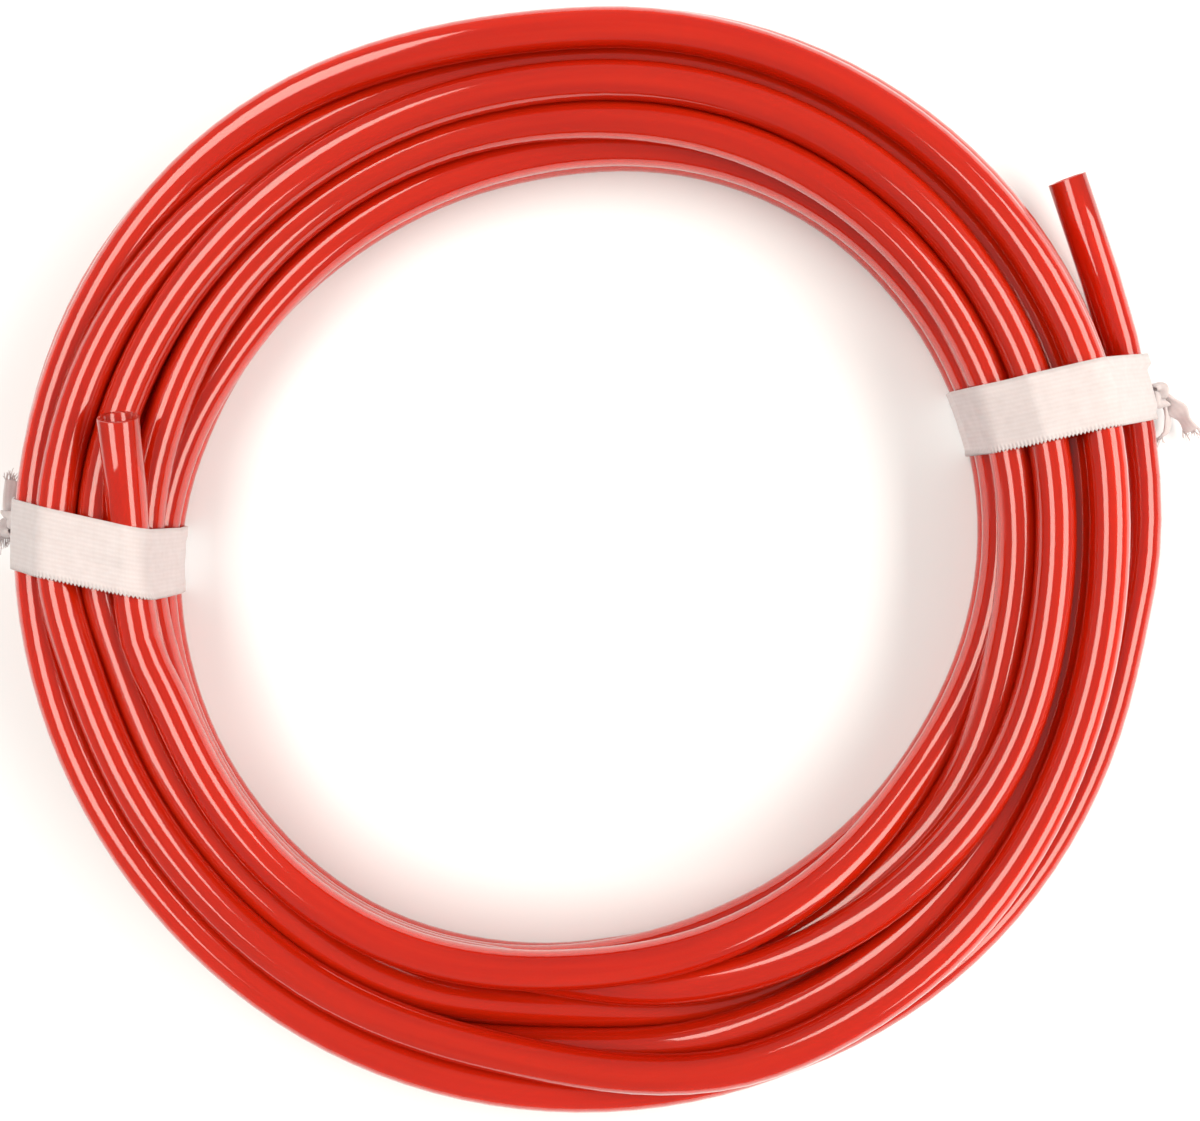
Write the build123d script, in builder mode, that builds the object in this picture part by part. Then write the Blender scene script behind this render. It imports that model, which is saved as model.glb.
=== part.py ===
from build123d import *
import math
import os

# A coil of 8 mm air hose, lying flat: about 14 and a half turns, tied with two cotton tapes.
# Millimetres, +Z up. The origin is on the floor, under the middle of the whole object.

# Hose
hose_radius = 4.0
bore_radius = 3.0

# Coil: the turns lie in four rows, and its outer shape goes round the turns at the corners
coil_centre = Vector(-5.6, 0, 0)
coil_radius = 100.0
row_height = 6.93
bottom_row_half_width = 12.0
second_row_half_width = 13.5
third_row_half_width = 12.0
top_row_inner_edge = -4.0
top_row_outer_edge = 8.0

# Tapes
tape_width = 13.5
tape_thickness = 0.6
right_tape_angle = 17.5
left_tape_angle = 178.5
slack_round_end = 1.05
section_block = 80.0

# Free ends: points chosen along the middle of the hose, from the coil out to the cut end
outer_end_route = [
    (114.3, -10.4, 4.3),
    (116.3, 0.6, 4.4),
    (116.4, 16.5, 4.8),
    (113.4, 37.5, 5.2),
    (107.5, 56.0, 8.6),
    (97.9, 79.7, 12.4),
]
inner_end_route = [
    (-91.9, -17.0, 28.9),
    (-93.5, -2.5, 29.0),
    (-93.6, 13.2, 31.2),
    (-93.4, 27.4, 37.8),
]

# Where the last turn of each end sinks into the bundle: angle, radius and height
outer_turn_start = (-62.0, 107.0, 5.5)
inner_turn_start = (228.0, 91.0, 18.0)

# The free ends where the tapes hold them: distance outward from the coil's middle and height
outer_end_at_tape = (24.2, 5.75)
inner_end_at_tape = (-12.15, 29.9)

# Knots on the outside of the tapes: size, and the place of each one's middle
knot_thickness = 3.2
knot_length = 7.0
knot_height = 5.6
knot_side_rounding = 1.5
knot_face_rounding = 0.8
right_knot_angle = 15.6
right_knot_middle = (31.0, 4.4)
left_knot_angle = 176.5
left_knot_middle = (19.1, 10.4)

# Loose tape ends, bunched at the knot and open at the cut: width and thickness of three
# sections, and each one's place and heading from the knot's middle (along, up, outward)
tail_sections = [(3.0, 1.2), (4.4, 0.9), (5.6, 0.7)]
right_tails = [
    [((0.3, 0.0, 1.6), (0, 0, 1)), ((-4.5, 0.2, 4.2), (-1, 0, 0.2)), ((-10.0, -0.5, 4.8), (-1, 0, 0))],
    [((-3.5, -0.3, 0.0), (-1, 0, 0)), ((-6.0, -0.5, 0.5), (-1, 0, 0)), ((-8.5, -1.0, 0.3), (-1, 0, 0))],
]
left_tails = [
    [((-3.5, 0.0, 0.0), (-1, 0, 0)), ((-7.0, 0.8, 0.4), (-1, 0, 0)), ((-11.0, 1.5, 1.2), (-1, 0, 0))],
    [((3.5, -0.3, 0.0), (1, 0, 0)), ((5.2, -0.6, 0.3), (1, 0, 0)), ((7.0, -1.0, 0.6), (1, 0, 0))],
]


def around_coil(angle, radius, height):
    """A point given by its angle, its distance from the coil's middle and its height."""
    turn = math.radians(angle)
    return coil_centre + Vector(radius * math.cos(turn), radius * math.sin(turn), height)


def section_plane(angle):
    """A plane across the bundle: X points outward and Y up."""
    outward = math.radians(angle)
    return Plane(
        origin=around_coil(angle, coil_radius, 0),
        x_dir=(math.cos(outward), math.sin(outward), 0),
        z_dir=(math.sin(outward), -math.cos(outward), 0),
    )


def corner_turns():
    """The turns at the bundle's corners: distance outward, height and radius."""
    rows = [hose_radius + row * row_height for row in range(4)]
    places = [
        (-bottom_row_half_width, rows[0]),
        (bottom_row_half_width, rows[0]),
        (-second_row_half_width, rows[1]),
        (second_row_half_width, rows[1]),
        (-third_row_half_width, rows[2]),
        (third_row_half_width, rows[2]),
        (top_row_inner_edge, rows[3]),
        (top_row_outer_edge, rows[3]),
    ]
    return [(x, y, hose_radius) for x, y in places]


def tight_outline(turns, grow=0.0, mode=Mode.ADD):
    """The outline pulled tight round the turns, inside a sketch. Grow moves it outward."""
    with BuildSketch(mode=Mode.PRIVATE) as circles:
        for x, y, radius in turns:
            with Locations((x, y)):
                Circle(radius + grow)
    make_hull(circles.sketch.edges(), mode=mode)


def corner_radii(points):
    """The largest arc for each corner: 0.45 of the shorter run over tan(half the turn)."""
    radii = []
    for before, corner, after in zip(points, points[1:], points[2:]):
        run_in = Vector(corner) - Vector(before)
        run_out = Vector(after) - Vector(corner)
        half_turn = math.radians(run_in.get_angle(run_out)) / 2
        radii.append(0.45 * min(run_in.length, run_out.length) / math.tan(half_turn))
    return radii


def first_direction(points):
    """Unit vector along the first run of a route."""
    return (Vector(points[1]) - Vector(points[0])).normalized()


turns = corner_turns()
right_plane = section_plane(right_tape_angle)
left_plane = section_plane(left_tape_angle)
half_tape = tape_width / 2

# What each tape goes round: the coil, squeezed by the tape's own thickness, and a free end
squeezed = [(x, y, radius - tape_thickness) for x, y, radius in turns]
held_right = squeezed + [(*outer_end_at_tape, hose_radius + slack_round_end)]
held_left = squeezed + [(*inner_end_at_tape, hose_radius + slack_round_end)]


# ---- Coil: the outer shape of all the turns, as one closed ring ----

with BuildPart() as hose_coil:
    with BuildSketch(section_plane(0)):
        tight_outline(turns)
    revolve(axis=Axis(coil_centre, (0, 0, 1)))

    # The last turn before each free end shows outside the ring, and ends in a flat face
    for route, start in (
        (outer_end_route, outer_turn_start),
        (inner_end_route, inner_turn_start),
    ):
        heading = first_direction(route)
        with BuildLine() as last_turn:
            TangentArc(route[0], around_coil(*start), tangent=-heading)
        with BuildSketch(Plane(origin=route[0], z_dir=-heading)):
            Circle(hose_radius)
        sweep(path=last_turn.line)

    # The tapes squeeze the bundle by their own thickness
    for tape_plane in (right_plane, left_plane):
        with BuildSketch(tape_plane):
            Rectangle(section_block, section_block)
        extrude(amount=half_tape, both=True, mode=Mode.SUBTRACT)
        with BuildSketch(tape_plane):
            tight_outline(squeezed)
        extrude(amount=half_tape, both=True)

hose_coil.part.label = "hose_coil"


# ---- Free ends of the hose: straight runs joined by tangent arcs, hollow, cut square ----

def build_free_end(route, label):
    """The hose along a route, as a hollow tube."""
    radii = corner_radii(route)
    with BuildPart() as free_end:
        with BuildLine() as path:
            FilletPolyline(*route, radius=radii)
        with BuildSketch(Plane(origin=route[0], z_dir=first_direction(route))):
            Circle(hose_radius)
            Circle(bore_radius, mode=Mode.SUBTRACT)
        sweep(path=path.line)
    free_end.part.label = label
    length = path.wire().length
    wall_area = math.pi * (hose_radius**2 - bore_radius**2)
    print(label, "radii", [round(r, 1) for r in radii], "length", round(length, 1))
    print(label, "volume", round(free_end.part.volume, 1), "section x length",
          round(wall_area * length, 1))
    return free_end


hose_outer_end = build_free_end(outer_end_route, "hose_outer_end")
hose_inner_end = build_free_end(inner_end_route, "hose_inner_end")


# ---- Tapes: a closed band pulled tight round the bundle and the free end ----

def build_band(plane, held, label):
    """A tape's loop round what it holds."""
    with BuildPart() as band:
        with BuildSketch(plane):
            tight_outline(held, grow=tape_thickness)
            tight_outline(held, mode=Mode.SUBTRACT)
        extrude(amount=half_tape, both=True)
    band.part.label = label
    return band


right_tie_band = build_band(right_plane, held_right, "right_tie_band")
left_tie_band = build_band(left_plane, held_left, "left_tie_band")


# ---- Knots: a small rounded lump that sits on the outside of its band ----

def knot_plane(angle, middle):
    """A plane through a knot's middle: X along the coil, Y up, Z outward."""
    distance, height = middle
    turn = math.radians(angle)
    return Plane(
        origin=around_coil(angle, coil_radius + distance, height),
        x_dir=(-math.sin(turn), math.cos(turn), 0),
        z_dir=(math.cos(turn), math.sin(turn), 0),
    )


def build_knot(plane, band_plane, held, label):
    """A rounded lump, hollowed where it lies against its band."""
    outward = Axis(plane.origin, plane.z_dir)
    with BuildPart() as knot:
        with BuildSketch(plane.offset(-knot_thickness)):
            Rectangle(knot_length, knot_height)
        extrude(amount=1.5 * knot_thickness)
        fillet(knot.edges().filter_by(outward), knot_side_rounding)
        fillet(knot.faces().sort_by(outward)[-1].edges(), knot_face_rounding)
        with BuildSketch(band_plane):
            tight_outline(held, grow=tape_thickness)
        extrude(amount=tape_width, both=True, mode=Mode.SUBTRACT)
    knot.part.label = label
    return knot


right_knot = knot_plane(right_knot_angle, right_knot_middle)
left_knot = knot_plane(left_knot_angle, left_knot_middle)
right_tie_knot = build_knot(right_knot, right_plane, held_right, "right_tie_knot")
left_tie_knot = build_knot(left_knot, left_plane, held_left, "left_tie_knot")


# ---- Tails: the two loose ends of each tape, from the knot to the cut edge ----

def build_tails(plane, tails, label):
    """Each tail is lofted from its bunched root on the knot to its open end."""
    with BuildPart() as pair:
        for tail in tails:
            for (width, thickness), (place, heading) in zip(tail_sections, tail):
                point = plane.from_local_coords(Vector(place))
                facing = plane.from_local_coords(Vector(place) + Vector(heading)) - point
                with BuildSketch(Plane(origin=point, x_dir=(0, 0, 1), z_dir=facing)):
                    Rectangle(width, thickness)
            loft(ruled=True)
    pair.part.label = label
    return pair


right_tie_tails = build_tails(right_knot, right_tails, "right_tie_tails")
left_tie_tails = build_tails(left_knot, left_tails, "left_tie_tails")


# ---- Files: one for each sub-part ----

os.makedirs("parts", exist_ok=True)
export_step(hose_coil.part, "parts/hose_coil.step")
export_step(hose_outer_end.part, "parts/hose_outer_end.step")
export_step(hose_inner_end.part, "parts/hose_inner_end.step")
export_step(right_tie_band.part, "parts/right_tie_band.step")
export_step(right_tie_knot.part, "parts/right_tie_knot.step")
export_step(right_tie_tails.part, "parts/right_tie_tails.step")
export_step(left_tie_band.part, "parts/left_tie_band.step")
export_step(left_tie_knot.part, "parts/left_tie_knot.step")
export_step(left_tie_tails.part, "parts/left_tie_tails.step")
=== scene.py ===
import math
import bmesh
import bpy
import numpy as np
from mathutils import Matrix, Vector


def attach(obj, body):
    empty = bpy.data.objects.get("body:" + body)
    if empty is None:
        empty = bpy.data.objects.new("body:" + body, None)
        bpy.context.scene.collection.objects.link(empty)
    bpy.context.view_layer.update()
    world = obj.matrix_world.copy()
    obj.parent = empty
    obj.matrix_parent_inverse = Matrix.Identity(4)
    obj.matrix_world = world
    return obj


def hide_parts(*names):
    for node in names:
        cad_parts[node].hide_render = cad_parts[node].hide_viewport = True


# A coil of clear red air hose, tied with two cotton tapes, seen from straight above.
# Metres, in the frame of the CAD model: +Z up, the origin on the floor under the middle.

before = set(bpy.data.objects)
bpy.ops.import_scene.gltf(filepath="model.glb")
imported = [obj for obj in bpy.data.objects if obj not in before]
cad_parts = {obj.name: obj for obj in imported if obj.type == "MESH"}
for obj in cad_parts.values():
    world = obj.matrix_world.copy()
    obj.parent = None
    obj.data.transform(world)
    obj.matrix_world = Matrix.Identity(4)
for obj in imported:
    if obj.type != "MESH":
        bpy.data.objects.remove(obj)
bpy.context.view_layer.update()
mm = 0.001

# Hose
HOSE_RADIUS = 4.0 * mm
BORE_RADIUS = 3.0 * mm
COIL_CENTRE = Vector((-5.6 * mm, 0, 0))

# Free ends of the hose: the points of the route, from the coil out to the cut end
OUTER_END_ROUTE = [
    (114.3, -10.4, 4.3),
    (116.3, 0.6, 4.4),
    (116.4, 16.5, 4.8),
    (113.4, 37.5, 5.2),
    (107.5, 56.0, 8.6),
    (97.9, 79.7, 12.4),
]
INNER_END_ROUTE = [
    (-91.9, -17.0, 28.9),
    (-93.5, -2.5, 29.0),
    (-93.6, 13.2, 31.2),
    (-93.4, 27.4, 37.8),
]

# Tapes
TAPE_WIDTH = 13.5 * mm
TAPE_THICKNESS = 0.5 * mm


# ---- Camera: straight above the middle of the object ----

CAMERA_PLACE = (0, -0.4 * mm, 344.4 * mm)
LENS = 47.5
SENSOR_WIDTH = 36.0

camera_data = bpy.data.cameras.new("camera")
camera_data.sensor_fit = "HORIZONTAL"
camera_data.sensor_width = SENSOR_WIDTH
camera_data.lens = LENS
camera = bpy.data.objects.new("camera", camera_data)
camera.location = CAMERA_PLACE
bpy.context.scene.collection.objects.link(camera)
bpy.context.scene.camera = camera


# ---- Hose: its turns are places in the bundle, drifting from one to the next ----

# Stations round the coil, and the turns that they are counted in: the hose starts partway
# through the first turn and ends early in the last
STATIONS = 60
TURNS = 16
STEP = 360.0 / STATIONS

# The distance that the middles of turns are pushed apart to, the height of a row, and the
# highest that the middle of a turn may lie
TURN_GAP = 2.0 * HOSE_RADIUS
ROW_HEIGHT = 6.95 * mm
HIGHEST_TURN = 29.0 * mm

# How far the bundle's two sides lean towards the coil's middle, for each metre of height
# above one row
INNER_LEAN = 0.20
OUTER_LEAN = 0.34

# The last turn leaves the bundle slowly: from one angle to another, and how far outward
LEAVING = (270.0, 350.0, 5.5 * mm)

# Places in the bundle that the turns pass through, from the inner end to the outer end:
# across the bundle (-1 is its inner side and 1 its outer side) and the row, from the floor
PLACES = [
    (-0.80, 3.50),
    (-1.00, 1.75),
    (-1.00, 0.60),
    (-0.60, 0.00),
    (-0.50, 1.15),
    (-0.50, 2.30),
    (-0.05, 2.95),
    (0.00, 1.75),
    (0.00, 0.60),
    (0.45, 0.00),
    (0.50, 1.15),
    (0.50, 2.30),
    (0.95, 2.95),
    (1.00, 1.75),
    (1.00, 0.55),
    (1.15, 0.00),
]

# Where a turn drifts to the next place: the angle for the first and the last turn, and the
# angle that a drift takes
FIRST_DRIFT = 350.0
LAST_DRIFT = 75.0
DRIFT_WIDTH = 45.0

# The middles of the innermost and the outermost turns, as radii, every 30 degrees round
INNER_LIMIT = [90.7, 92.6, 91.6, 86.8, 82.8, 84.6, 88.6, 89.6, 89.7, 86.0, 84.2, 86.4]
OUTER_LIMIT = [114.6, 119.4, 119.6, 113.2, 114.9, 116.5, 114.8, 113.0, 113.2, 113.9, 115.2, 114.6]

# Settling goes in steps. In each, the hose is smoothed along its length, pulled towards its
# places and let down a little, all less and less, and then the turns are pushed apart.
# Small overlaps are left. TINY stands in for a distance of nothing, which can't divide.
SETTLING_STEPS = 500
SMOOTHING_ROUNDS = 2
LEAST_STIFFNESS = 0.1
EXTRA_STIFFNESS = 0.4
PULL = 0.03
SAG = 0.06 * mm
PUSHING_ROUNDS = 3
TINY = 1e-6


def smooth_step(x):
    """0 below 0, 1 above 1, and smooth between."""
    x = np.clip(x, 0, 1)
    return x * x * (3 - 2 * x)


def round_the_coil(values, angles):
    """A smooth closed curve through values that stand evenly round the coil."""
    count = len(values)
    spectrum = np.fft.rfft(values) / count
    result = np.full(len(angles), spectrum[0].real)
    for order in range(1, len(spectrum)):
        share = 1 if 2 * order == count else 2
        wave = spectrum[order] * np.exp(1j * order * np.radians(angles))
        result += share * wave.real
    return result


def polar(point):
    """Angle in degrees, distance and height of a point seen from the coil's middle."""
    offset = Vector(point) * mm - COIL_CENTRE
    return math.degrees(math.atan2(offset.y, offset.x)), offset.xy.length, offset.z


def from_polar(angle, radius, height):
    """The point at an angle in degrees, a distance and a height from the coil's middle."""
    turn = math.radians(angle)
    return COIL_CENTRE + Vector((radius * math.cos(turn), radius * math.sin(turn), height))


def held_points(route, whole_turns):
    """A free end's route as total angles, radii and heights, in order of the angle."""
    rows = [polar(point) for point in route]
    return sorted((angle % 360 + 360 * whole_turns, r, h) for angle, r, h in rows)


def bundle_sides(height, inner, outer):
    """Radii of the bundle's inner and outer sides at a height."""
    above = np.maximum(height - ROW_HEIGHT, 0)
    return inner - INNER_LEAN * above, outer - OUTER_LEAN * above


def push_apart(grid, there, loose):
    """Moves overlapping turns away from each other. Held stretches of hose don't give way."""
    for a in range(TURNS):
        for b in range(a + 1, TURNS):
            gap = grid[b] - grid[a]
            distance = np.maximum(np.hypot(gap[:, 0], gap[:, 1]), TINY)
            short = np.maximum(TURN_GAP - distance, 0) * (there[a] & there[b])
            push = gap / distance[:, None] * short[:, None]
            share_a = np.where(loose[a], np.where(loose[b], 0.5, 1.0), 0.0)
            share_b = np.where(loose[b], np.where(loose[a], 0.5, 1.0), 0.0)
            grid[a] -= push * share_a[:, None]
            grid[b] += push * share_b[:, None]


def settle_turns():
    """The hose at every station of every turn, settled so that its turns lie on each other."""
    station = np.arange(TURNS * STATIONS)
    angle = station * STEP
    turn = station // STATIONS
    local = angle % 360
    last_turn = 360 * (TURNS - 2)
    inner = round_the_coil(INNER_LIMIT, local) * mm
    outer = round_the_coil(OUTER_LIMIT, local) * mm

    # Where each turn would lie, if nothing pushed it
    places = np.array(PLACES + [PLACES[-1]])
    drift_at = FIRST_DRIFT + (LAST_DRIFT - FIRST_DRIFT) * turn / (TURNS - 2)
    drift = smooth_step((local - drift_at) / DRIFT_WIDTH + 0.5)[:, None]
    place = places[turn] * (1 - drift) + places[turn + 1] * drift
    height = HOSE_RADIUS + place[:, 1] * ROW_HEIGHT
    low, high = bundle_sides(height, inner, outer)
    radius = (low + high) / 2 + place[:, 0] * (high - low) / 2
    leave_from, leave_until, leave_by = LEAVING
    leaving = smooth_step((angle - last_turn - leave_from) / (leave_until - leave_from)) * leave_by
    radius += leaving
    target = np.stack([radius, height], 1)

    # The free ends stay where their routes put them
    first = held_points(INNER_END_ROUTE, 0)
    last = held_points(OUTER_END_ROUTE, TURNS - 2)
    last = sorted((a + 360 if a < last_turn + 180 else a, r, h) for a, r, h in last)
    exists = (angle >= first[0][0]) & (angle <= last[-1][0])
    held = exists & ((angle <= first[-1][0]) | (angle >= last[0][0]))
    for route in (first, last):
        a, r, h = np.array(route).T
        here = exists & (angle >= a[0]) & (angle <= a[-1])
        target[here, 0] = np.interp(angle[here], a, r)
        target[here, 1] = np.interp(angle[here], a, h)

    spot = target.copy()
    free = exists & ~held
    there = exists.reshape(TURNS, STATIONS)
    loose = free.reshape(TURNS, STATIONS)
    freed = leaving.reshape(TURNS, STATIONS)
    for step in range(SETTLING_STEPS):
        ease = 1 - step / SETTLING_STEPS
        stiffness = LEAST_STIFFNESS + EXTRA_STIFFNESS * ease
        for _ in range(SMOOTHING_ROUNDS):
            middle_of = (spot[:-2] + spot[2:]) / 2
            inside = free[1:-1] & exists[:-2] & exists[2:]
            spot[1:-1][inside] += stiffness * (middle_of - spot[1:-1])[inside]
        spot[free] += PULL * ease * (target - spot)[free]
        spot[free, 1] -= SAG * ease

        grid = spot.reshape(TURNS, STATIONS, 2)
        for _ in range(PUSHING_ROUNDS):
            push_apart(grid, there, loose)
            grid[..., 1][loose] = np.clip(grid[..., 1][loose], HOSE_RADIUS, HIGHEST_TURN)
            low, high = bundle_sides(grid[..., 1], inner[:STATIONS], outer[:STATIONS])
            grid[..., 0][loose] = np.clip(grid[..., 0], low, high + freed)[loose]
        spot = grid.reshape(-1, 2)
    return angle, spot, exists, held


angle, spot, exists, held = settle_turns()


POINTS_PER_SPAN = 2


def route_points():
    """The whole route of the hose, from the inner tip to the outer tip."""
    turning = exists & ~held
    inner_tip = [Vector(p) * mm for p in reversed(INNER_END_ROUTE)]
    outer_tip = [Vector(p) * mm for p in OUTER_END_ROUTE]
    turns = [from_polar(a, r, h) for a, (r, h) in zip(angle[turning], spot[turning])]
    # The first and the last of the turns' points stand right beside the free ends' own
    return inner_tip + turns[1:-1] + outer_tip


def spline_points(points, name):
    """Points along the smooth NURBS line that has these control points."""
    curve = bpy.data.curves.new(name, "CURVE")
    curve.dimensions = "3D"
    curve.resolution_u = POINTS_PER_SPAN
    spline = curve.splines.new("NURBS")
    spline.points.add(len(points) - 1)
    for control, point in zip(spline.points, points):
        control.co = (*point, 1.0)
    spline.order_u = 3
    spline.use_endpoint_u = True
    holder = bpy.data.objects.new(name, curve)
    line = bpy.data.meshes.new_from_object(holder)
    result = np.array([v.co for v in line.vertices])
    bpy.data.objects.remove(holder)
    bpy.data.meshes.remove(line)
    bpy.data.curves.remove(curve)
    return result


def frames_along(line):
    """Direction, sideways and upward unit vectors at each point of a line."""
    ahead = np.gradient(line, axis=0)
    ahead /= np.linalg.norm(ahead, axis=1)[:, None]
    side = np.cross(ahead, (0, 0, 1.0))
    side /= np.linalg.norm(side, axis=1)[:, None]
    return ahead, side, np.cross(side, ahead)


def distances(line):
    """Distance along a line to each of its points."""
    runs = np.linalg.norm(np.diff(line, axis=0), axis=1)
    return np.concatenate([[0], np.cumsum(runs)])


def new_piece(name, mesh, material):
    """An object that rides on the body, with its material."""
    piece = bpy.data.objects.new(name, mesh)
    bpy.context.scene.collection.objects.link(piece)
    mesh.materials.append(material)
    for polygon in mesh.polygons:
        polygon.use_smooth = True
    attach(piece, "root")
    return piece


def grid_mesh(name, rows, uv, closed):
    """A mesh through rows of points; closed joins the last point of a row to its first."""
    count, across = rows.shape[:2]
    mesh = bpy.data.meshes.new(name)
    columns = across if closed else across - 1
    faces = []
    for i in range(count - 1):
        for j in range(columns):
            k = (j + 1) % across
            here, beyond = i * across, (i + 1) * across
            faces.append((here + j, beyond + j, beyond + k, here + k))
    mesh.from_pydata(rows.reshape(-1, 3).tolist(), [], faces)
    layer = mesh.uv_layers.new(name="UVMap")
    flat = uv.reshape(-1, 2)
    index = np.empty(len(mesh.loops), int)
    mesh.loops.foreach_get("vertex_index", index)
    layer.data.foreach_set("uv", flat[index].ravel())
    return mesh


WELD_DISTANCE = 1e-7


def weld(mesh):
    """Joins points that lie together and turns every face outward."""
    welded = bmesh.new()
    welded.from_mesh(mesh)
    bmesh.ops.remove_doubles(welded, verts=welded.verts, dist=WELD_DISTANCE)
    bmesh.ops.recalc_face_normals(welded, faces=welded.faces)
    welded.to_mesh(mesh)
    welded.free()


SIDES = 24
CUT_EDGE = 0.12 * mm


def hose_mesh(line):
    """The hose as a tube with a real bore: out along its skin, round the cut, back inside."""
    ahead, side, up = frames_along(line)
    along = distances(line)
    around = np.linspace(0, 2 * math.pi, SIDES, endpoint=False)
    sideways = np.cos(around)[None, :, None] * side[:, None]
    upward = np.sin(around)[None, :, None] * up[:, None]
    ring = sideways + upward

    def rings(radius, which, shift=0.0):
        return line[which, None] + ring[which] * radius + ahead[which, None] * shift

    every = np.arange(len(line))
    rows = [
        rings(HOSE_RADIUS - CUT_EDGE, every[:1]),
        rings(HOSE_RADIUS, every[:1], CUT_EDGE),
        rings(HOSE_RADIUS, every[1:-1]),
        rings(HOSE_RADIUS, every[-1:], -CUT_EDGE),
        rings(HOSE_RADIUS - CUT_EDGE, every[-1:]),
        rings(BORE_RADIUS + CUT_EDGE, every[-1:]),
        rings(BORE_RADIUS, every[-1:], -CUT_EDGE),
        rings(BORE_RADIUS, every[1:-1][::-1]),
        rings(BORE_RADIUS, every[:1], CUT_EDGE),
        rings(BORE_RADIUS + CUT_EDGE, every[:1]),
        rings(HOSE_RADIUS - CUT_EDGE, every[:1]),
    ]
    rows = np.concatenate(rows)
    back = along[1:-1][::-1]
    ends = [along[:1]] * 2 + [along[1:-1]] + [along[-1:]] * 4 + [back] + [along[:1]] * 3
    length = np.concatenate(ends)
    uv = np.empty(rows.shape[:2] + (2,))
    uv[..., 0] = length[:, None]
    uv[..., 1] = around[None, :] / (2 * math.pi)
    mesh = grid_mesh("hose", rows, uv, closed=True)
    weld(mesh)
    return mesh


# ---- Materials ----

HOSE_FINISH = {
    "Roughness": 0.09,
    "IOR": 1.5,
    "Transmission Weight": 0.6,
    "Coat Weight": 0.6,
    "Coat Roughness": 0.05,
}
TAPE_FINISH = {
    "Roughness": 0.85,
    "Sheen Weight": 0.25,
    "Sheen Roughness": 0.5,
    "Subsurface Weight": 0.15,
    "Subsurface Radius": (1.0, 0.6, 0.5),
    "Subsurface Scale": 1.0 * mm,
}

# Colours of each material: a darker and a lighter one, and where on the noise each is reached
HOSE_COLOURS = [(0.3, (0.77, 0.023, 0.004, 1)), (0.7, (0.93, 0.036, 0.006, 1))]
# The tape's two colours are off-white cotton tinted pink: the pink is painted red light bounced off
# the hose.
TAPE_COLOURS_WITH_PAINTED_BOUNCE = [(0.2, (0.56, 0.495, 0.50, 1)), (0.8, (0.64, 0.58, 0.59, 1))]

# Threads of the tape: the spacing of the warp and of the weft, and how uneven each is
WARP = (0.90 * mm, 0.6)
WEFT = (0.64 * mm, 0.8)

# The spacing of a wave texture's bands at a scale of 1
BAND_SPACING = 0.314


def new_material(name):
    """A material with its nodes, its link function and its principled shader."""
    material = bpy.data.materials.new(name)
    material.use_nodes = True
    nodes = material.node_tree.nodes
    return material, nodes, material.node_tree.links.new, nodes["Principled BSDF"]


def add_node(nodes, kind, **inputs):
    """A node of a kind, with the values of its inputs."""
    node = nodes.new("ShaderNode" + kind)
    for name, value in inputs.items():
        node.inputs[name].default_value = value
    return node


def add_ramp(nodes, colours):
    """A colour ramp through two colours, each with its position."""
    ramp = nodes.new("ShaderNodeValToRGB")
    for element, (position, colour) in zip(ramp.color_ramp.elements, colours):
        element.position = position
        element.color = colour
    return ramp


def add_mix(nodes, blend_type, factor):
    """A mix of two colours."""
    mix = nodes.new("ShaderNodeMix")
    mix.data_type = "RGBA"
    mix.blend_type = blend_type
    mix.inputs["Factor"].default_value = factor
    return mix


def hose_material():
    """Clear red plastic: glossy, a little light passes through, faint lines from the die."""
    material, nodes, link, shader = new_material("hose_red")
    for name, value in HOSE_FINISH.items():
        shader.inputs[name].default_value = value

    # Slow changes of colour along and round the hose
    uv = nodes.new("ShaderNodeUVMap")
    uv.uv_map = "UVMap"
    stretch = add_node(nodes, "Mapping", Scale=(14, 9, 1))
    cloud = add_node(nodes, "TexNoise", Scale=1.0, Detail=3)
    shade = add_ramp(nodes, HOSE_COLOURS)
    link(uv.outputs["UV"], stretch.inputs["Vector"])
    link(stretch.outputs["Vector"], cloud.inputs["Vector"])
    link(cloud.outputs["Fac"], shade.inputs["Fac"])
    link(shade.outputs["Color"], shader.inputs["Base Color"])

    # Lines along the hose, and a slow waviness of its surface
    lines = add_node(nodes, "Mapping", Scale=(2.5, 60, 1))
    drawn = add_node(nodes, "TexNoise", Scale=1.0, Detail=2)
    relief = add_node(nodes, "Bump", Strength=0.12, Distance=0.06 * mm)
    link(uv.outputs["UV"], lines.inputs["Vector"])
    link(lines.outputs["Vector"], drawn.inputs["Vector"])
    link(drawn.outputs["Fac"], relief.inputs["Height"])
    link(relief.outputs["Normal"], shader.inputs["Normal"])
    return material


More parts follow.
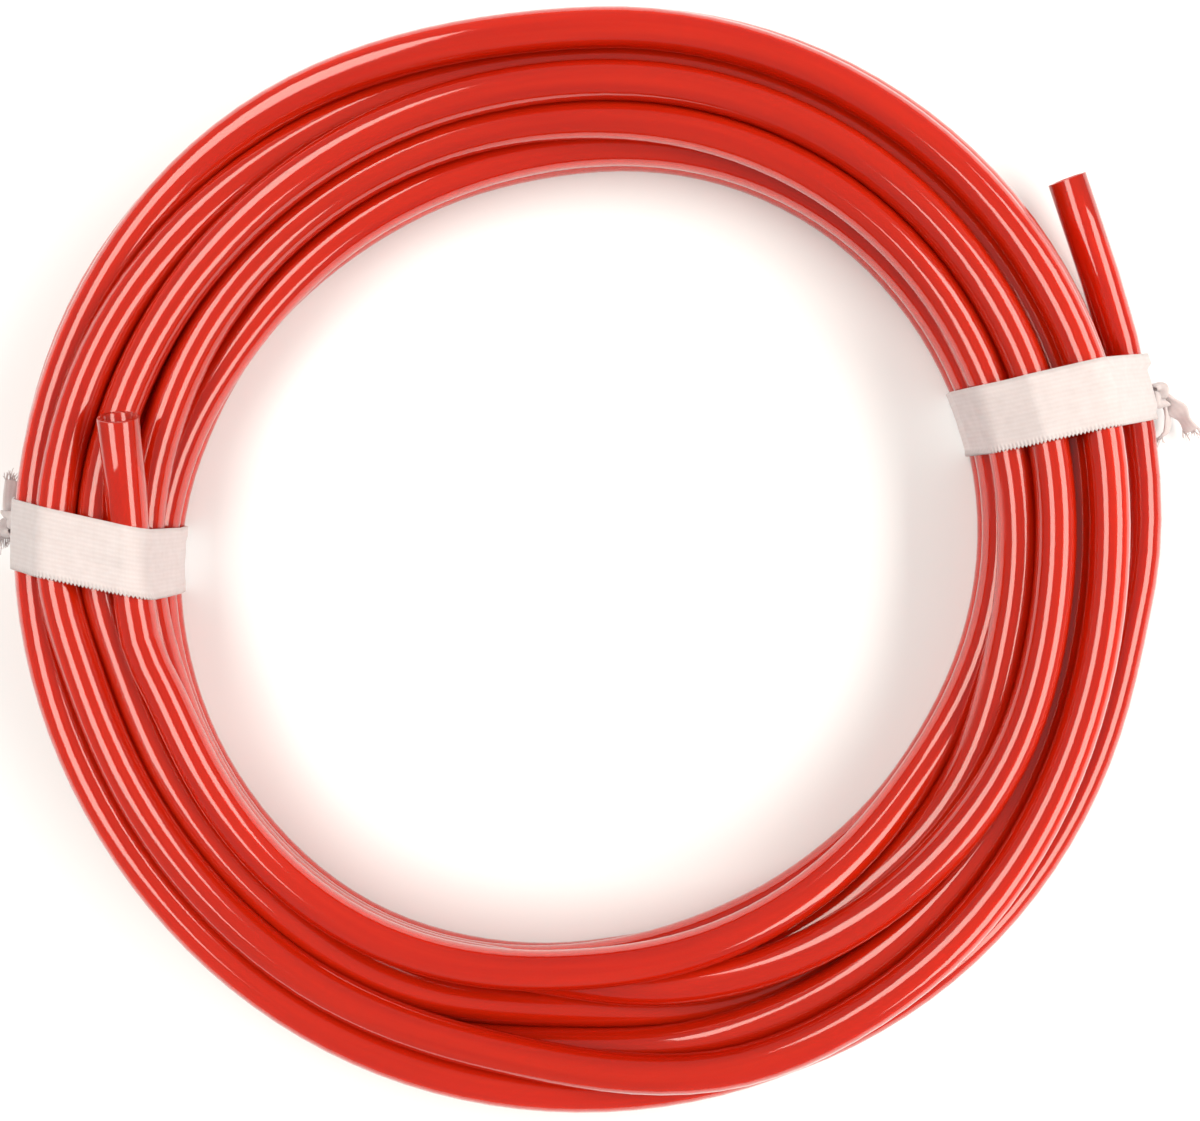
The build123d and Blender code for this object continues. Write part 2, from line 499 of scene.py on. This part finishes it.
def tape_material():
    """Woven cotton: fine ribs along the tape, crossed by the weft, slightly mottled, and tinted
    pink with painted red light bounced off the hose.
    """
    material, nodes, link, shader = new_material("tape_cotton")
    for name, value in TAPE_FINISH.items():
        shader.inputs[name].default_value = value

    uv = nodes.new("ShaderNodeUVMap")
    uv.uv_map = "UVMap"

    def threads(direction, spacing, unevenness):
        scale = BAND_SPACING / spacing
        wave = add_node(nodes, "TexWave", Scale=scale, Distortion=unevenness, Detail=1)
        wave.wave_type = "BANDS"
        wave.bands_direction = direction
        link(uv.outputs["UV"], wave.inputs["Vector"])
        return wave

    warp = threads("Y", *WARP)
    weft = threads("X", *WEFT)
    woven = add_mix(nodes, "MULTIPLY", 0.35)
    link(warp.outputs["Color"], woven.inputs["A"])
    link(weft.outputs["Color"], woven.inputs["B"])

    mottle = add_node(nodes, "TexNoise", Scale=450, Detail=4)
    blend = add_mix(nodes, "MIX", 0.78)
    # The ramp's pink tint is painted red light bounced off the hose, on top of the cotton's own
    # off-white.
    tint = add_ramp(nodes, TAPE_COLOURS_WITH_PAINTED_BOUNCE)
    link(uv.outputs["UV"], mottle.inputs["Vector"])
    link(woven.outputs["Result"], blend.inputs["A"])
    link(mottle.outputs["Fac"], blend.inputs["B"])
    link(blend.outputs["Result"], tint.inputs["Fac"])
    link(tint.outputs["Color"], shader.inputs["Base Color"])

    relief = add_node(nodes, "Bump", Strength=0.2, Distance=0.12 * mm)
    link(woven.outputs["Result"], relief.inputs["Height"])
    link(relief.outputs["Normal"], shader.inputs["Normal"])
    return material


hose_red = hose_material()
tape_cotton = tape_material()

control_points = route_points()
hose_line = spline_points(control_points, "hose_line")
hose = new_piece("hose", hose_mesh(hose_line), hose_red)
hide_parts("hose_coil", "hose_outer_end", "hose_inner_end")


# ---- Tapes: each is pulled tight round the turns it holds, and knotted on the outside ----

# Picot edge, points across the width, the gap to the hose, and the ripples along the tape
TOOTH_PITCH = 0.77 * mm
TOOTH_DEPTH = 0.55 * mm
POINTS_PER_TOOTH = 4
ROWS_ACROSS = 13
BAND_CLEARANCE = 0.06 * mm
RIPPLE = 0.03 * mm
LONG_RIPPLE = 3.1 * mm
SHORT_RIPPLE = 1.7 * mm

# Degrees to each side of an angle in which a turn counts as passing it: for the whole band,
# for one row of it, and for a knot
BAND_WINDOW = 3.8
ROW_WINDOW = 2.5
KNOT_WINDOW = 2.0

# Points round each turn, and the spacing of points where an outline's reach is looked up
CIRCLE_POINTS = 48
OUTLINE_SPACING = 0.1 * mm

# The lowest that the outer (1) and the inner (-1) skin of a tape lie, and how wide a stretch
# of the inner side the slide takes to fade out
LOWEST_SKIN = {1: 0.02 * mm, -1: 0.32 * mm}
SLIDE_WIDTH = 8.0 * mm

# For each tape: its angle round the coil; how far it drifts along the coil for each metre
# outward; how far the part on the inner side has slid along; the side with the picot edge
TAPES = {
    "right": {"angle": 17.5, "slant": -0.085, "slide": 1.7 * mm, "picots": -1},
    "left": {"angle": 178.5, "slant": -0.19, "slide": -1.7 * mm, "picots": 1},
}


def line_in_polar(line):
    """Angle in degrees, radius and height of every point of a line round the coil."""
    offset = line - np.array(COIL_CENTRE)
    angles = np.degrees(np.arctan2(offset[:, 1], offset[:, 0]))
    return angles, np.hypot(offset[:, 0], offset[:, 1]), offset[:, 2]


def convex_outline(points):
    """The corners of the tight outline round points in a plane, anticlockwise."""
    points = sorted(map(tuple, points))

    def half(ordered):
        kept = []
        for p in ordered:
            while len(kept) > 1:
                (ax, ay), (bx, by) = kept[-2], kept[-1]
                if (bx - ax) * (p[1] - ay) - (by - ay) * (p[0] - ax) > 0:
                    break
                kept.pop()
            kept.append(p)
        return kept[:-1]

    return np.array(half(points) + half(points[::-1]))


def outline_round_turns(at, window, grow):
    """The tight outline round all the turns that pass within a window of an angle."""
    angles, radius, height = line_in_polar(hose_line)
    near = np.abs((angles - at + 180) % 360 - 180) < window
    around = np.linspace(0, 2 * math.pi, CIRCLE_POINTS, endpoint=False)
    size = HOSE_RADIUS + grow
    x = radius[near, None] + size * np.cos(around)
    y = height[near, None] + size * np.sin(around)
    return convex_outline(np.stack([x.ravel(), y.ravel()], 1))


def spaced_loop(corners, spacing):
    """Points evenly spaced along a closed outline, a whole number of teeth, and the spacing."""
    loop = np.vstack([corners, corners[:1]])
    along = np.concatenate([[0], np.cumsum(np.linalg.norm(np.diff(loop, axis=0), axis=1))])
    count = POINTS_PER_TOOTH * round(along[-1] / (POINTS_PER_TOOTH * spacing))
    at = np.linspace(0, along[-1], count, endpoint=False)
    return np.stack([np.interp(at, along, loop[:, i]) for i in (0, 1)], 1), along[-1] / count


def reach_outline(corners, centre, bearings):
    """How far from a centre the rays at these bearings leave a convex outline."""
    dense, _ = spaced_loop(corners, OUTLINE_SPACING)
    offset = dense - centre
    bearing = np.arctan2(offset[:, 1], offset[:, 0])
    order = np.argsort(bearing)
    return np.interp(bearings, bearing[order], np.hypot(*offset.T)[order], period=2 * math.pi)


def band_mesh(name, angle, slant, slide, picots):
    """A tape's loop as a thin closed shell, with a picot edge, and its flat length."""
    grow = TAPE_THICKNESS / 2 + BAND_CLEARANCE
    whole = outline_round_turns(angle, BAND_WINDOW, grow)
    loop, spacing = spaced_loop(whole, TOOTH_PITCH / POINTS_PER_TOOTH)
    centre = (whole.min(0) + whole.max(0)) / 2
    bearings = np.arctan2(*(loop - centre).T[::-1])
    whole_reach = np.hypot(*(loop - centre).T)
    rays = (loop - centre) / whole_reach[:, None]
    top, inside = whole[:, 1].max(), whole[:, 0].min()
    count = len(loop)
    station = np.arange(count)
    tooth = TOOTH_DEPTH * (0.5 - 0.5 * np.cos(station * 2 * math.pi / POINTS_PER_TOOTH))
    across = np.linspace(-1, 1, ROWS_ACROSS)

    layers = {1: [], -1: []}
    for share in across:
        here = angle + math.degrees(share * TAPE_WIDTH / 2 / whole[:, 0].mean())
        local = outline_round_turns(here, ROW_WINDOW, grow)
        reach = reach_outline(local, centre, bearings)
        reach = np.maximum(reach, (reach + whole_reach) / 2)
        section = centre + reach[:, None] * rays
        ahead = np.roll(section, -1, 0) - np.roll(section, 1, 0)
        normal = np.stack([ahead[:, 1], -ahead[:, 0]], 1)
        normal /= np.linalg.norm(normal, axis=1)[:, None]
        ripple = RIPPLE * np.sin(station * spacing / LONG_RIPPLE + 2.0 * share)
        ripple += RIPPLE * np.sin(station * spacing / SHORT_RIPPLE - 3.0 * share)
        edge = share * TAPE_WIDTH / 2 + (picots * tooth if share == picots else 0)
        depth = np.clip((top - section[:, 1]) / top, 0, 1)
        inner = np.clip(1 - (section[:, 0] - inside) / SLIDE_WIDTH, 0, 1)
        shift = slant * (section[:, 0] - centre[0]) + slide * depth * inner + edge
        for side in layers:
            skin = section + normal * (side * TAPE_THICKNESS / 2 + RIPPLE + ripple)[:, None]
            skin[:, 1] = np.maximum(skin[:, 1], LOWEST_SKIN[side])
            turn = np.radians(angle) + shift / skin[:, 0]
            points = np.stack([skin[:, 0] * np.cos(turn), skin[:, 0] * np.sin(turn), skin[:, 1]], 1)
            layers[side].append(points + np.array(COIL_CENTRE))

    rows = np.array(layers[1] + layers[-1][::-1] + layers[1][:1])
    width = np.concatenate([across, across[::-1], across[:1]]) * TAPE_WIDTH / 2
    uv = np.empty(rows.shape[:2] + (2,))
    uv[..., 0] = (station * spacing)[None, :]
    uv[..., 1] = width[:, None]
    mesh = grid_mesh(name, rows, uv, closed=True)
    weld(mesh)
    return mesh, count * spacing


def smooth_line(points, count):
    """Points evenly spread along a Catmull-Rom curve through rows of numbers."""
    rows = np.array(points, float)
    rows = np.vstack([2 * rows[0] - rows[1], rows, 2 * rows[-1] - rows[-2]])
    result = []
    # The last point stays just inside the last span
    for at in np.linspace(0, len(rows) - 3 - 1e-9, count):
        i = int(at)
        t = at - i
        a, b, c, d = rows[i:i + 4]
        bend = (2 * a - 5 * b + 4 * c - d) * t * t + (3 * b - a - 3 * c + d) * t**3
        result.append(0.5 * (2 * b + (c - a) * t + bend))
    return np.array(result)


def knot_axes(angle):
    """Unit vectors at a knot: along the coil, up, and outward."""
    turn = math.radians(angle)
    outward = np.array((math.cos(turn), math.sin(turn), 0))
    return np.array([(-outward[1], outward[0], 0), (0, 0, 1), outward])


STRIP_SIDES = 16
STRIP_ROUNDING = 0.6


def strip_mesh(name, centre, across, width, thickness):
    """A cloth strip: a flat oval section carried along a line of points, closed at its ends."""
    ahead = np.gradient(centre, axis=0)
    ahead /= np.linalg.norm(ahead, axis=1)[:, None]
    across = across - (across * ahead).sum(1)[:, None] * ahead
    across /= np.linalg.norm(across, axis=1)[:, None]
    face = np.cross(ahead, across)
    around = np.linspace(0, 2 * math.pi, STRIP_SIDES, endpoint=False)
    wide = np.sign(np.cos(around)) * np.abs(np.cos(around)) ** STRIP_ROUNDING
    rows = (
        centre[:, None]
        + across[:, None] * (wide[None, :] * width[:, None] / 2)[..., None]
        + face[:, None] * (np.sin(around)[None, :] * thickness[:, None] / 2)[..., None]
    )
    along = distances(centre)
    uv = np.empty((len(centre), STRIP_SIDES, 2))
    uv[..., 0] = along[:, None]
    uv[..., 1] = wide[None, :] * width.mean() / 2
    first_cap = centre[:1, None].repeat(STRIP_SIDES, 1)
    last_cap = centre[-1:, None].repeat(STRIP_SIDES, 1)
    rows = np.concatenate([first_cap, rows, last_cap])
    uv = np.concatenate([uv[:1], uv, uv[-1:]])
    mesh = grid_mesh(name, rows, uv, closed=True)
    weld(mesh)
    return mesh


# A knot: its points, its size along the coil, upward and outward, and its bunched tape's
# width, how much that varies, and thickness
KNOT_POINTS = 121
KNOT_SIZE = (0.85 * mm, 0.72 * mm, 0.75 * mm)
KNOT_TAPE = (2.3 * mm, 0.3 * mm, 0.9 * mm)


def knot_mesh(name, middle, axes):
    """An overhand knot in bunched tape."""
    t = np.linspace(0, 2 * math.pi, KNOT_POINTS)
    trefoil = np.stack([
        np.sin(t) + 2 * np.sin(2 * t),
        np.cos(t) - 2 * np.cos(2 * t),
        -np.sin(3 * t),
    ], 1)
    loop = trefoil * KNOT_SIZE
    centre = loop @ axes + middle
    inward = (loop * (-1, -1, 1.5)) @ axes
    across = np.cross(np.gradient(centre, axis=0), inward)
    tape_width, variation, thickness = KNOT_TAPE
    width = tape_width + variation * np.sin(5 * t)
    return strip_mesh(name, centre, across, width, np.full(KNOT_POINTS, thickness))


# Loose ends: points along one, its frayed threads, points along a thread, how thick a thread
# is, its shortest and longest length in millimetres, and the lowest that it hangs
TAIL_POINTS = 40
THREADS = 26
THREAD_POINTS = 7
THREAD_THICKNESS = 0.22 * mm
THREAD_LENGTHS = (1.2, 3.4)
LOWEST_THREAD = 0.15 * mm


def tail_meshes(name, route, middle, axes, chance):
    """A loose tape end: a strip from the knot to its cut, and the threads frayed out of it."""
    table = smooth_line(route, TAIL_POINTS)
    centre = table[:, :3] * mm @ axes + middle
    lean = np.radians(table[:, 5])
    across = np.stack([np.zeros(TAIL_POINTS), np.cos(lean), np.sin(lean)], 1) @ axes
    meshes = [strip_mesh(name, centre, across, table[:, 3] * mm, table[:, 4] * mm)]
    ahead = centre[-1] - centre[-2]
    ahead /= np.linalg.norm(ahead)
    spread = across[-1] / np.linalg.norm(across[-1])
    lift = np.cross(ahead, spread)
    for _ in range(THREADS):
        place = chance.uniform(-0.5, 0.5)
        root = centre[-3] + spread * place * table[-1, 3] * mm
        splay = 0.9 * place + chance.normal(0, 0.2)
        heading = ahead + spread * splay + lift * chance.normal(0, 0.25)
        curl = spread * chance.normal(0, 0.5) + lift * chance.normal(0, 0.5)
        reach = chance.uniform(*THREAD_LENGTHS) * mm
        share = np.linspace(0, 1, THREAD_POINTS)[:, None]
        line = root + heading * share * reach + curl * share**2 * reach * 0.5
        line[:, 2] = np.maximum(line[:, 2], LOWEST_THREAD)
        thick = THREAD_THICKNESS * (1 - 0.4 * share[:, 0])
        across_thread = np.tile(lift, (THREAD_POINTS, 1))
        meshes.append(strip_mesh(f"{name}_thread", line, across_thread, thick, thick))
    return meshes


def join_meshes(name, meshes):
    """One mesh made of several."""
    joined = bmesh.new()
    for mesh in meshes:
        joined.from_mesh(mesh)
        bpy.data.meshes.remove(mesh)
    result = bpy.data.meshes.new(name)
    joined.to_mesh(result)
    joined.free()
    return result


# The knots: angle round the coil, height, and how far the middle stands off the bundle. The
# tails: along the coil, up and outward from the knot's middle, width, thickness, and the lean
# of the strip's width from upright
KNOTS = {"right": (15.6, 4.6 * mm, 1.4 * mm), "left": (176.5, 13.5 * mm, 0.4 * mm)}

# A knot stands off the outermost point of the outline within this height of its middle
KNOT_OUTLINE_SPACING = 0.2 * mm
KNOT_HALF_HEIGHT = 1.5 * mm

FRAY_SEED = 7
TAILS = {
    "right": [
        [
            (0.5, 0.0, 1.0, 2.6, 1.4, 0), (-1.8, 0.4, 2.0, 3.2, 1.0, 20),
            (-4.2, 0.3, 3.0, 4.4, 0.7, 55), (-6.6, -0.4, 4.2, 3.2, 0.8, 30),
            (-9.2, -1.0, 5.2, 3.4, 0.6, 60),
        ],
        [
            (-1.0, -0.3, 0.6, 2.6, 1.3, 0), (-3.2, -0.6, 0.9, 3.0, 0.9, -20),
            (-5.6, -1.2, 1.0, 2.4, 0.7, -50), (-7.8, -1.6, 0.2, 1.6, 0.6, -70),
            (-8.6, -1.8, -1.0, 0.8, 0.5, -80),
        ],
    ],
    "left": [
        [
            (-0.5, 0.0, 0.3, 2.4, 1.2, 10), (-3.4, -0.4, 0.4, 2.8, 0.9, 40),
            (-6.4, -0.9, 0.4, 3.0, 0.7, 55), (-9.2, -1.2, 0.2, 3.2, 0.6, 60),
        ],
        [
            (0.4, -0.2, 0.4, 2.4, 1.2, 0), (1.3, -0.5, 0.7, 2.8, 0.9, 15),
            (2.2, -0.9, 1.0, 3.0, 0.7, 30), (3.0, -1.3, 1.2, 3.2, 0.6, 40),
        ],
    ],
}


def add_tape(side):
    """A whole tape: its band, its knot and its two tails."""
    mesh, length = band_mesh(f"{side}_tape", **TAPES[side])
    band = new_piece(f"{side}_tape", mesh, tape_cotton)
    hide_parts(f"{side}_tie_band")

    knot_angle, knot_height, stand_off = KNOTS[side]
    corners = outline_round_turns(knot_angle, KNOT_WINDOW, TAPE_THICKNESS)
    outline, _ = spaced_loop(corners, KNOT_OUTLINE_SPACING)
    level = np.abs(outline[:, 1] - knot_height) < KNOT_HALF_HEIGHT
    outermost = outline[level, 0].max()
    middle = np.array(from_polar(knot_angle, outermost + stand_off, knot_height))
    axes = knot_axes(knot_angle)
    knot = new_piece(f"{side}_knot", knot_mesh("knot", middle, axes), tape_cotton)
    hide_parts(f"{side}_tie_knot")

    chance = np.random.default_rng(FRAY_SEED)
    strips = []
    for route in TAILS[side]:
        strips += tail_meshes("tail", route, middle, axes, chance)
    tails = new_piece(f"{side}_tails", join_meshes("tails", strips), tape_cotton)
    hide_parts(f"{side}_tie_tails")


add_tape("right")
add_tape("left")


# ---- Stage: a pale floor, two long soft boxes and a dim room ----

# The floor lies just below the coil
FLOOR_HALF_SIZE = 3.0
FLOOR_DEPTH = 0.05 * mm
FLOOR_FINISH = {
    "Base Color": (0.93, 0.96, 0.99, 1),
    "Roughness": 0.9,
    "Specular IOR Level": 0.1,
}

# Soft boxes: place, the point that each one faces, size, and power in watts
WARM_WHITE = (1.0, 0.94, 0.84)
SOFT_BOXES = {
    "left_soft_box": ((-0.376, 0.195, 0.706), (0, 0.195, 0), (0.91, 0.36), 5.9),
    "right_soft_box": ((0.566, -0.10, 0.566), (0, -0.10, 0), (1.15, 0.40), 8.5),
}
ROOM_STRENGTH = 0.3


def add_floor():
    """A wide pale floor that the coil lies on."""
    mesh = bpy.data.meshes.new("floor")
    half = FLOOR_HALF_SIZE
    corners = [(-half, -half, 0), (half, -half, 0), (half, half, 0), (-half, half, 0)]
    mesh.from_pydata(corners, [], [(0, 1, 2, 3)])
    floor = bpy.data.objects.new("floor", mesh)
    floor.location.z = -FLOOR_DEPTH
    bpy.context.scene.collection.objects.link(floor)
    material, _, _, shader = new_material("floor_white")
    for name, value in FLOOR_FINISH.items():
        shader.inputs[name].default_value = value
    mesh.materials.append(material)


def add_soft_box(name, place, aim, size, power):
    """A rectangular light at place, facing aim."""
    data = bpy.data.lights.new(name, "AREA")
    data.shape = "RECTANGLE"
    data.size, data.size_y = size
    data.energy = power
    data.color = WARM_WHITE
    light = bpy.data.objects.new(name, data)
    light.location = place
    direction = Vector(aim) - Vector(place)
    light.rotation_euler = direction.to_track_quat("-Z", "Y").to_euler()
    bpy.context.scene.collection.objects.link(light)


def add_room(strength):
    """Even light from all round."""
    world = bpy.data.worlds.new("room")
    world.use_nodes = True
    background = world.node_tree.nodes["Background"]
    background.inputs["Color"].default_value = (1, 1, 1, 1)
    background.inputs["Strength"].default_value = strength
    bpy.context.scene.world = world


add_floor()
for box_name, box_facts in SOFT_BOXES.items():
    add_soft_box(box_name, *box_facts)
add_room(ROOM_STRENGTH)
bpy.context.scene.view_settings.view_transform = "Standard"
bpy.context.scene.view_settings.look = "None"
